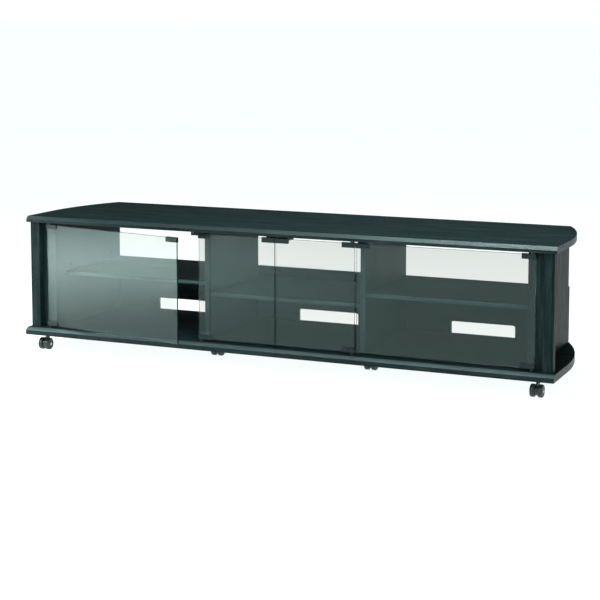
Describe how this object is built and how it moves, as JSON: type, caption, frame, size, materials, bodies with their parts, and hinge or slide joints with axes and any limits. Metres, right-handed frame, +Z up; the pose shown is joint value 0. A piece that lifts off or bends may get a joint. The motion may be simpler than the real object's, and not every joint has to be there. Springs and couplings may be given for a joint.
{
  "type": "media cabinet",
  "caption": "Long low media cabinet with smoked glass doors, side and middle bays with shelves, curved board ends and twin-wheel casters.",
  "frame": {"origin": "on the floor, under the centre of the bottom board, where the casters stand", "axes": "+X to the right seen from the front, -Y out of the doors, +Z up"},
  "size_m": [1.66, 0.5278, 0.413],
  "materials": {
    "black_woodgrain": "black wood-grain foil, satin",
    "smoked_glass": "tempered grey-tinted glass, polished edges",
    "black_metal": "black painted die casting, semi-gloss",
    "black_nylon": "moulded nylon, matte",
    "black_plastic": "moulded plastic, fine texture",
    "caster_plastic": "moulded nylon, polished",
    "bright_steel": "zinc plated, bright"
  },
  "bodies": {
    "cabinet": {"top_board": "black_woodgrain", "bottom_board": "black_woodgrain", "side_panel_left": "black_woodgrain", "side_panel_right": "black_woodgrain", "front_pillar_left": "black_woodgrain", "front_pillar_right": "black_woodgrain", "divider_left": "black_woodgrain", "divider_right": "black_woodgrain", "back_panel": "black_woodgrain", "shelf_left": "black_woodgrain", "shelf_centre": "black_woodgrain", "shelf_right": "black_woodgrain", "shelf_pins": "bright_steel", "upper_bushes": "black_nylon", "lower_bushes": "black_nylon", "latch_bodies": "black_plastic", "latch_screws": "bright_steel", "caster_plates": "bright_steel", "caster_screws": "bright_steel"},
    "door_1": {"door_1_glass": "smoked_glass", "door_1_hinges": "black_metal", "door_1_strike": "black_metal"},
    "latch_1": {"latch_1_plunger": "black_plastic"},
    "door_2": {"door_2_glass": "smoked_glass", "door_2_hinges": "black_metal", "door_2_strike": "black_metal"},
    "latch_2": {"latch_2_plunger": "black_plastic"},
    "door_3": {"door_3_glass": "smoked_glass", "door_3_hinges": "black_metal", "door_3_strike": "black_metal"},
    "latch_3": {"latch_3_plunger": "black_plastic"},
    "door_4": {"door_4_glass": "smoked_glass", "door_4_hinges": "black_metal", "door_4_strike": "black_metal"},
    "latch_4": {"latch_4_plunger": "black_plastic"},
    "caster_1": {"caster_1_body": "caster_plastic", "caster_1_axle": "bright_steel"},
    "wheel_1_l": {"caster_1_wheel_l": "caster_plastic"},
    "wheel_1_r": {"caster_1_wheel_r": "caster_plastic"},
    "caster_2": {"caster_2_body": "caster_plastic", "caster_2_axle": "bright_steel"},
    "wheel_2_l": {"caster_2_wheel_l": "caster_plastic"},
    "wheel_2_r": {"caster_2_wheel_r": "caster_plastic"},
    "caster_3": {"caster_3_body": "caster_plastic", "caster_3_axle": "bright_steel"},
    "wheel_3_l": {"caster_3_wheel_l": "caster_plastic"},
    "wheel_3_r": {"caster_3_wheel_r": "caster_plastic"},
    "caster_4": {"caster_4_body": "caster_plastic", "caster_4_axle": "bright_steel"},
    "wheel_4_l": {"caster_4_wheel_l": "caster_plastic"},
    "wheel_4_r": {"caster_4_wheel_r": "caster_plastic"},
    "caster_5": {"caster_5_body": "caster_plastic", "caster_5_axle": "bright_steel"},
    "wheel_5_l": {"caster_5_wheel_l": "caster_plastic"},
    "wheel_5_r": {"caster_5_wheel_r": "caster_plastic"},
    "caster_6": {"caster_6_body": "caster_plastic", "caster_6_axle": "bright_steel"},
    "wheel_6_l": {"caster_6_wheel_l": "caster_plastic"},
    "wheel_6_r": {"caster_6_wheel_r": "caster_plastic"}
  },
  "joints": [
    {"name": "door_1_swing", "type": "hinge", "parent": "cabinet", "child": "door_1", "pos_m": [-0.76, -0.191, 0.232], "axis": [0, 0, -1], "range_deg": [-12, 83]},
    {"name": "door_2_swing", "type": "hinge", "parent": "cabinet", "child": "door_2", "pos_m": [-0.2385, -0.191, 0.232], "axis": [0, 0, -1], "range_deg": [0, 95]},
    {"name": "door_3_swing", "type": "hinge", "parent": "cabinet", "child": "door_3", "pos_m": [0.2385, -0.191, 0.232], "axis": [0, 0, 1], "range_deg": [0, 95]},
    {"name": "door_4_swing", "type": "hinge", "parent": "cabinet", "child": "door_4", "pos_m": [0.76, -0.191, 0.232], "axis": [0, 0, 1], "range_deg": [0, 95]},
    {"name": "latch_1_push", "type": "slide", "parent": "cabinet", "child": "latch_1", "axis": [0, 1, 0], "range_m": [0, 0.003], "stiffness_N_per_m": 150, "springref_m": -0.004},
    {"name": "latch_2_push", "type": "slide", "parent": "cabinet", "child": "latch_2", "axis": [0, 1, 0], "range_m": [0, 0.003], "stiffness_N_per_m": 150, "springref_m": -0.004},
    {"name": "latch_3_push", "type": "slide", "parent": "cabinet", "child": "latch_3", "axis": [0, 1, 0], "range_m": [0, 0.003], "stiffness_N_per_m": 150, "springref_m": -0.004},
    {"name": "latch_4_push", "type": "slide", "parent": "cabinet", "child": "latch_4", "axis": [0, 1, 0], "range_m": [0, 0.003], "stiffness_N_per_m": 150, "springref_m": -0.004},
    {"name": "caster_1_swivel", "type": "hinge", "parent": "cabinet", "child": "caster_1", "pos_m": [-0.777, -0.183, 0.044], "axis": [0, 0, 1], "continuous": true},
    {"name": "wheel_1_l_roll", "type": "hinge", "parent": "caster_1", "child": "wheel_1_l", "pos_m": [-0.777, -0.195, 0.018], "axis": [1, 0, 0], "continuous": true},
    {"name": "wheel_1_r_roll", "type": "hinge", "parent": "caster_1", "child": "wheel_1_r", "pos_m": [-0.777, -0.195, 0.018], "axis": [1, 0, 0], "continuous": true},
    {"name": "caster_2_swivel", "type": "hinge", "parent": "cabinet", "child": "caster_2", "pos_m": [0.777, -0.183, 0.044], "axis": [0, 0, 1], "continuous": true},
    {"name": "wheel_2_l_roll", "type": "hinge", "parent": "caster_2", "child": "wheel_2_l", "pos_m": [0.777, -0.195, 0.018], "axis": [1, 0, 0], "continuous": true},
    {"name": "wheel_2_r_roll", "type": "hinge", "parent": "caster_2", "child": "wheel_2_r", "pos_m": [0.777, -0.195, 0.018], "axis": [1, 0, 0], "continuous": true},
    {"name": "caster_3_swivel", "type": "hinge", "parent": "cabinet", "child": "caster_3", "pos_m": [-0.2485, -0.053, 0.044], "axis": [0, 0, 1], "continuous": true},
    {"name": "wheel_3_l_roll", "type": "hinge", "parent": "caster_3", "child": "wheel_3_l", "pos_m": [-0.2485, -0.065, 0.018], "axis": [1, 0, 0], "continuous": true},
    {"name": "wheel_3_r_roll", "type": "hinge", "parent": "caster_3", "child": "wheel_3_r", "pos_m": [-0.2485, -0.065, 0.018], "axis": [1, 0, 0], "continuous": true},
    {"name": "caster_4_swivel", "type": "hinge", "parent": "cabinet", "child": "caster_4", "pos_m": [0.2485, -0.053, 0.044], "axis": [0, 0, 1], "continuous": true},
    {"name": "wheel_4_l_roll", "type": "hinge", "parent": "caster_4", "child": "wheel_4_l", "pos_m": [0.2485, -0.065, 0.018], "axis": [1, 0, 0], "continuous": true},
    {"name": "wheel_4_r_roll", "type": "hinge", "parent": "caster_4", "child": "wheel_4_r", "pos_m": [0.2485, -0.065, 0.018], "axis": [1, 0, 0], "continuous": true},
    {"name": "caster_5_swivel", "type": "hinge", "parent": "cabinet", "child": "caster_5", "pos_m": [-0.7, 0.178, 0.044], "axis": [0, 0, 1], "continuous": true},
    {"name": "wheel_5_l_roll", "type": "hinge", "parent": "caster_5", "child": "wheel_5_l", "pos_m": [-0.7, 0.166, 0.018], "axis": [1, 0, 0], "continuous": true},
    {"name": "wheel_5_r_roll", "type": "hinge", "parent": "caster_5", "child": "wheel_5_r", "pos_m": [-0.7, 0.166, 0.018], "axis": [1, 0, 0], "continuous": true},
    {"name": "caster_6_swivel", "type": "hinge", "parent": "cabinet", "child": "caster_6", "pos_m": [0.7, 0.178, 0.044], "axis": [0, 0, 1], "continuous": true},
    {"name": "wheel_6_l_roll", "type": "hinge", "parent": "caster_6", "child": "wheel_6_l", "pos_m": [0.7, 0.166, 0.018], "axis": [1, 0, 0], "continuous": true},
    {"name": "wheel_6_r_roll", "type": "hinge", "parent": "caster_6", "child": "wheel_6_r", "pos_m": [0.7, 0.166, 0.018], "axis": [1, 0, 0], "continuous": true}
  ]
}
